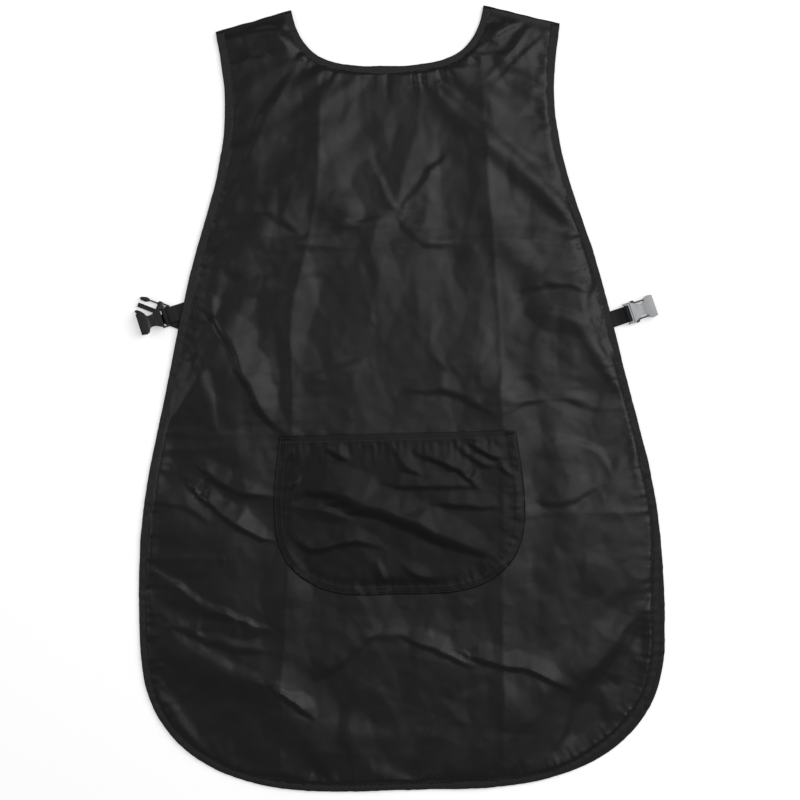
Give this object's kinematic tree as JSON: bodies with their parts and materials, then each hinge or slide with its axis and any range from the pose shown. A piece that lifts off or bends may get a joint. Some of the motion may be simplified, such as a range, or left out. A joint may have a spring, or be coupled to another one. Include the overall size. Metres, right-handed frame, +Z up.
{
  "type": "smock apron",
  "caption": "Sleeveless over-the-head artist's smock apron of black nylon cloth with bound edges, scooped neck, patch pocket and side-release buckles at the waist.",
  "frame": {"origin": "on the surface the garment lies on, under the middle of its box", "axes": "+X to the right of the front panel, +Y towards the neck, +Z up out of the cloth"},
  "size_m": [0.499, 0.7413, 0.014],
  "materials": {
    "smock_cloth": "satin",
    "binding_tape": "satin",
    "thread": "satin",
    "webbing": "matte",
    "buckle_black": "satin",
    "buckle_grey": "satin"
  },
  "bodies": {
    "back": {"back_panel": "smock_cloth", "back_edge_binding": "binding_tape", "back_neck_binding": "binding_tape", "back_strap_tail_left": "webbing", "back_strap_tail_right": "webbing"},
    "front": {"front_panel": "smock_cloth", "front_edge_binding": "binding_tape", "front_neck_binding": "binding_tape", "pocket_panel": "smock_cloth", "pocket_mouth_hem": "smock_cloth", "pocket_bartacks": "thread", "front_strap_tail_left": "webbing", "front_strap_tail_right": "webbing", "front_strap_bartacks": "thread"},
    "front_strap_left": {"front_strap_left": "webbing"},
    "female_buckle_left": {"female_buckle_left": "buckle_black"},
    "back_strap_left": {"back_strap_left": "webbing"},
    "male_buckle_left": {"male_buckle_left": "buckle_black"},
    "male_arm_upper_left": {"male_arm_upper_left": "buckle_black"},
    "male_arm_lower_left": {"male_arm_lower_left": "buckle_black"},
    "front_strap_right": {"front_strap_right": "webbing"},
    "female_buckle_right": {"female_buckle_right": "buckle_grey"},
    "back_strap_right": {"back_strap_right": "webbing"},
    "male_buckle_right": {"male_buckle_right": "buckle_black"},
    "male_arm_upper_right": {"male_arm_upper_right": "buckle_black"},
    "male_arm_lower_right": {"male_arm_lower_right": "buckle_black"}
  },
  "joints": [
    {"name": "shoulder_fold", "type": "hinge", "parent": "back", "child": "front", "pos_m": [0, 0.3715, 0.0034], "axis": [-1, 0, 0], "range_deg": [0, 175]},
    {"name": "front_strap_bend_left", "type": "hinge", "parent": "front", "child": "front_strap_left", "pos_m": [-0.20975, 0.08663, 0.0044], "axis": [-0.2857, 0.9583, 0], "range_deg": [0, 100]},
    {"name": "female_buckle_swivel_left", "type": "hinge", "parent": "front_strap_left", "child": "female_buckle_left", "pos_m": [-0.21713, 0.08443, 0.0092], "axis": [-0.2857, 0.9583, 0], "range_deg": [0, 70]},
    {"name": "back_strap_bend_left", "type": "hinge", "parent": "back", "child": "back_strap_left", "pos_m": [-0.21184, 0.08324, 0.0024], "axis": [0.3907, 0.9205, 0], "range_deg": [-100, 0]},
    {"name": "male_buckle_swivel_left", "type": "hinge", "parent": "back_strap_left", "child": "male_buckle_left", "pos_m": [-0.21893, 0.08625, 0.0027], "axis": [0.3907, 0.9205, 0], "range_deg": [-70, 0]},
    {"name": "male_arm_flex_upper_left", "type": "hinge", "parent": "male_buckle_left", "child": "male_arm_upper_left", "pos_m": [-0.22381, 0.09702, 0.0027], "axis": [0, 0, 1], "range_deg": [0, 6], "stiffness_Nm_per_rad": 0.05},
    {"name": "male_arm_flex_lower_left", "type": "hinge", "parent": "male_buckle_left", "child": "male_arm_lower_left", "pos_m": [-0.23006, 0.08229, 0.0027], "axis": [0, 0, 1], "range_deg": [-6, 0], "stiffness_Nm_per_rad": 0.05},
    {"name": "front_strap_bend_right", "type": "hinge", "parent": "front", "child": "front_strap_right", "pos_m": [0.21372, 0.074, 0.0044], "axis": [0.3007, -0.9537, 0], "range_deg": [0, 100]},
    {"name": "female_buckle_swivel_right", "type": "hinge", "parent": "front_strap_right", "child": "female_buckle_right", "pos_m": [0.22106, 0.07631, 0.0092], "axis": [0.3007, -0.9537, 0], "range_deg": [0, 70]},
    {"name": "back_strap_bend_right", "type": "hinge", "parent": "back", "child": "back_strap_right", "pos_m": [0.21372, 0.074, 0.0024], "axis": [0.3007, -0.9537, 0], "range_deg": [-100, 0]},
    {"name": "male_buckle_swivel_right", "type": "hinge", "parent": "back_strap_right", "child": "male_buckle_right", "pos_m": [0.22106, 0.07631, 0.0027], "axis": [0.3007, -0.9537, 0], "range_deg": [-70, 0]},
    {"name": "male_arm_flex_upper_right", "type": "hinge", "parent": "male_buckle_right", "child": "male_arm_upper_right", "pos_m": [0.22695, 0.08656, 0.0027], "axis": [0, 0, 1], "range_deg": [-6, 0], "stiffness_Nm_per_rad": 0.05},
    {"name": "male_arm_flex_lower_right", "type": "hinge", "parent": "male_buckle_right", "child": "male_arm_lower_right", "pos_m": [0.23176, 0.0713, 0.0027], "axis": [0, 0, 1], "range_deg": [0, 6], "stiffness_Nm_per_rad": 0.05}
  ],
  "couplings": [
    {"joint": "male_arm_flex_lower_left", "follows": "male_arm_flex_upper_left", "ratio": -1},
    {"joint": "male_arm_flex_lower_right", "follows": "male_arm_flex_upper_right", "ratio": -1}
  ]
}
